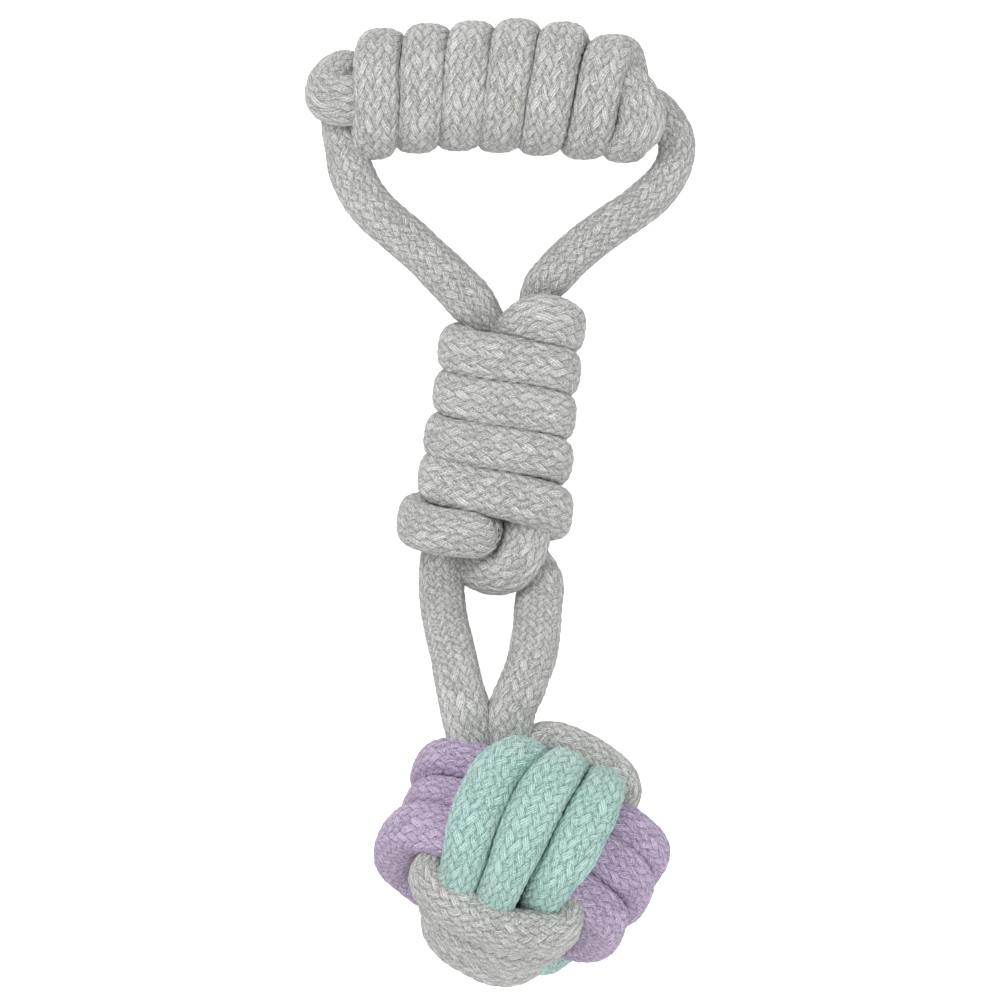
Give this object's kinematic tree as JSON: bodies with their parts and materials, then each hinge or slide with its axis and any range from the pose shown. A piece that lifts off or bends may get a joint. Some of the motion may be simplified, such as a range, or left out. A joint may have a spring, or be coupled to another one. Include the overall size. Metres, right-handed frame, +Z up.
{
  "type": "rope dog toy",
  "caption": "Rope dog toy for tugging and throwing: a wound rope grip on a hand loop, a wrapped knot below it and a round woven rope ball in grey, mint and lilac.",
  "frame": {"origin": "on the floor, under the middle of the toy's box as it lies on its back", "axes": "+X across the grip to the right, +Y from the ball to the grip, +Z up from the floor"},
  "size_m": [0.0999, 0.2422, 0.0708],
  "materials": {
    "grey_rope": "matt braided cotton, grey melange",
    "mint_rope": "matt braided cotton, mint green",
    "lilac_rope": "matt braided cotton, lilac"
  },
  "bodies": {
    "knot": {"knot_wrap": "grey_rope", "knot_strand_left": "grey_rope", "knot_strand_right": "grey_rope", "knot_tuck": "grey_rope"},
    "upper_loop": {"upper_leg_left": "grey_rope", "upper_leg_right": "grey_rope"},
    "grip": {"grip_wrap": "grey_rope", "grip_core_rope": "grey_rope"},
    "lower_loop": {"lower_leg_left": "grey_rope", "lower_leg_right": "grey_rope"},
    "ball": {"ball_neck_left": "grey_rope", "ball_neck_right": "grey_rope", "ball_coil_mint": "mint_rope", "ball_coil_lilac": "lilac_rope", "ball_coil_grey": "grey_rope", "ball_core": "grey_rope"}
  },
  "joints": [
    {"name": "handle_fold", "type": "hinge", "parent": "knot", "child": "upper_loop", "pos_m": [0, 0.05985, 0.014], "axis": [1, 0, 0], "range_deg": [-90, 90]},
    {"name": "grip_tilt", "type": "hinge", "parent": "upper_loop", "child": "grip", "pos_m": [0, 0.07935, 0.01545], "axis": [1, 0, 0], "range_deg": [-60, 60]},
    {"name": "neck_fold", "type": "hinge", "parent": "knot", "child": "lower_loop", "pos_m": [0, -0.02465, 0.0155], "axis": [1, 0, 0], "range_deg": [-40, 90]},
    {"name": "ball_nod", "type": "hinge", "parent": "lower_loop", "child": "ball", "pos_m": [0, -0.04465, 0.036], "axis": [1, 0, 0], "range_deg": [-45, 45]}
  ]
}
